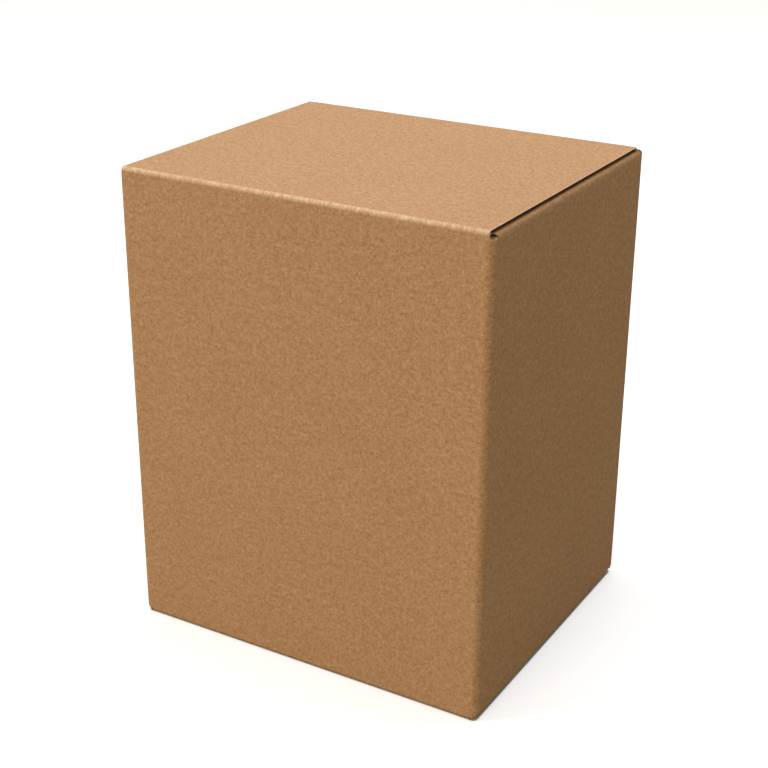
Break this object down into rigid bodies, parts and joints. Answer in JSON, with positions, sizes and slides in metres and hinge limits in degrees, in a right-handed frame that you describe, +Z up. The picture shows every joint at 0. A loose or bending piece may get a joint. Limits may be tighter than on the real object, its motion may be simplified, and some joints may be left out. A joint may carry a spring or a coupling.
{
  "type": "tuck-top cardboard box",
  "caption": "Closed tuck-top carton of plain kraft corrugated board, with a hinged lid, folded-in dust flaps and a snap-lock floor.",
  "frame": {"origin": "middle of the base, on the surface that the carton stands on", "axes": "+Z up, front panel with the lid's fold at -Y, right side panel at +X"},
  "size_m": [0.163, 0.138, 0.2],
  "materials": {
    "carton_board": "matte kraft liner",
    "lid_board": "matte kraft liner"
  },
  "bodies": {
    "carton": {"carton_body": "carton_board"},
    "lid": {"lid": "lid_board"}
  },
  "joints": [
    {"name": "lid_hinge", "type": "hinge", "parent": "carton", "child": "lid", "pos_m": [0, -0.069, 0.2], "axis": [1, 0, 0], "range_deg": [0, 260]}
  ]
}
